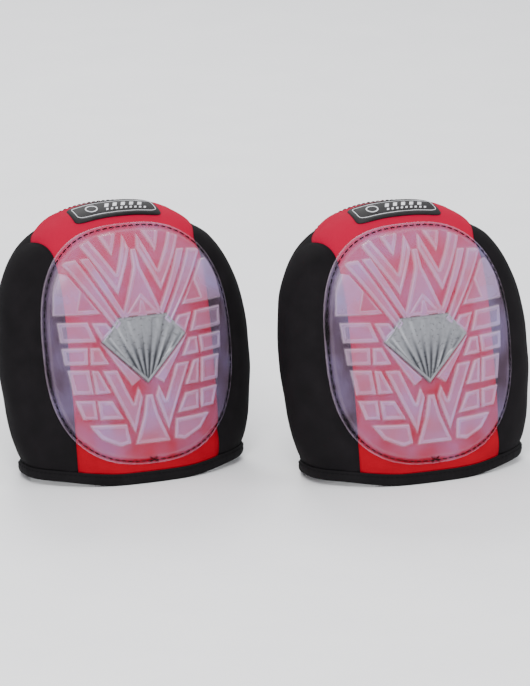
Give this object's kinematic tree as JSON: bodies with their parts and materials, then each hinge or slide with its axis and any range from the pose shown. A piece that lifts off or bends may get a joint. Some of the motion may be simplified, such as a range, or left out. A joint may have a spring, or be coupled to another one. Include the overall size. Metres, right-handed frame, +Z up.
{
  "type": "knee pads",
  "caption": "Pair of curved knee pads: quilted foam shells in red and black fabric with clear ribbed gel caps, bound edges and elastic rear straps.",
  "frame": {"origin": "on the surface that the pads stand on, under the middle of the pair", "axes": "+Z up from the hems, -Y to the fronts of the pads, +X across the pair towards the right pad"},
  "size_m": [0.4192, 0.218, 0.2132],
  "materials": {
    "crimson_fabric": "fine knitted polyester",
    "black_fabric": "matte knitted polyester",
    "foam": "closed-cell foam",
    "lining": "spacer mesh",
    "gel": "soft cast gel",
    "cap_gel": "clear milky moulded gel",
    "emblem": "satin grey inlay",
    "label_rubber": "matte moulded patch",
    "binding": "bound tape",
    "webbing": "woven webbing",
    "elastic": "ribbed elastic",
    "hook_tape": "hook tape",
    "loop_tape": "brushed loop tape",
    "plastic": "moulded acetal"
  },
  "bodies": {
    "left_pad": {"left_cap_emblem": "emblem", "left_centre_panel": "crimson_fabric", "left_foam_shell": "foam", "left_gel_cap": "cap_gel", "left_gel_core": "gel", "left_hem_binding": "binding", "left_inner_lining": "lining", "left_inner_side_panel": "black_fabric", "left_lower_loop_tab": "loop_tape", "left_lower_ring_tab": "webbing", "left_lower_strap_ring": "plastic", "left_outer_side_panel": "black_fabric", "left_rim_binding": "binding", "left_top_label": "label_rubber", "left_upper_loop_tab": "loop_tape", "left_upper_ring_tab": "webbing", "left_upper_strap_ring": "plastic"},
    "right_pad": {"right_cap_emblem": "emblem", "right_centre_panel": "crimson_fabric", "right_foam_shell": "foam", "right_gel_cap": "cap_gel", "right_gel_core": "gel", "right_hem_binding": "binding", "right_inner_lining": "lining", "right_inner_side_panel": "black_fabric", "right_lower_loop_tab": "loop_tape", "right_lower_ring_tab": "webbing", "right_lower_strap_ring": "plastic", "right_outer_side_panel": "black_fabric", "right_rim_binding": "binding", "right_top_label": "label_rubber", "right_upper_loop_tab": "loop_tape", "right_upper_ring_tab": "webbing", "right_upper_strap_ring": "plastic"},
    "left_lower_strap": {"left_lower_strap": "elastic", "left_lower_hook_patch": "hook_tape"},
    "left_lower_slide": {"left_lower_adjuster": "plastic"},
    "left_upper_strap": {"left_upper_strap": "elastic", "left_upper_hook_patch": "hook_tape"},
    "left_upper_slide": {"left_upper_adjuster": "plastic"},
    "right_lower_strap": {"right_lower_strap": "elastic", "right_lower_hook_patch": "hook_tape"},
    "right_lower_slide": {"right_lower_adjuster": "plastic"},
    "right_upper_strap": {"right_upper_strap": "elastic", "right_upper_hook_patch": "hook_tape"},
    "right_upper_slide": {"right_upper_adjuster": "plastic"}
  },
  "joints": [
    {"name": "left_lower_strap_swing", "type": "hinge", "parent": "left_pad", "child": "left_lower_strap", "pos_m": [-0.16681, 0.08679, 0.046], "axis": [0, 0, 1], "range_deg": [0, 140]},
    {"name": "left_lower_adjuster_slide", "type": "slide", "parent": "left_lower_strap", "child": "left_lower_slide", "axis": [1, 0, 0], "range_m": [-0.028, 0.03]},
    {"name": "left_upper_strap_swing", "type": "hinge", "parent": "left_pad", "child": "left_upper_strap", "pos_m": [-0.16854, 0.10365, 0.122], "axis": [0, 0, 1], "range_deg": [0, 140]},
    {"name": "left_upper_adjuster_slide", "type": "slide", "parent": "left_upper_strap", "child": "left_upper_slide", "axis": [1, 0, 0], "range_m": [-0.028, 0.03]},
    {"name": "right_lower_strap_swing", "type": "hinge", "parent": "right_pad", "child": "right_lower_strap", "pos_m": [0.16681, -0.00611, 0.046], "axis": [0, 0, -1], "range_deg": [0, 140]},
    {"name": "right_lower_adjuster_slide", "type": "slide", "parent": "right_lower_strap", "child": "right_lower_slide", "axis": [-1, 0, 0], "range_m": [-0.028, 0.03]},
    {"name": "right_upper_strap_swing", "type": "hinge", "parent": "right_pad", "child": "right_upper_strap", "pos_m": [0.16854, 0.01075, 0.122], "axis": [0, 0, -1], "range_deg": [0, 140]},
    {"name": "right_upper_adjuster_slide", "type": "slide", "parent": "right_upper_strap", "child": "right_upper_slide", "axis": [-1, 0, 0], "range_m": [-0.028, 0.03]},
    {"name": "right_pad_apart", "type": "slide", "parent": "left_pad", "child": "right_pad", "axis": [1, 0, 0], "range_m": [0, 0.2]}
  ]
}
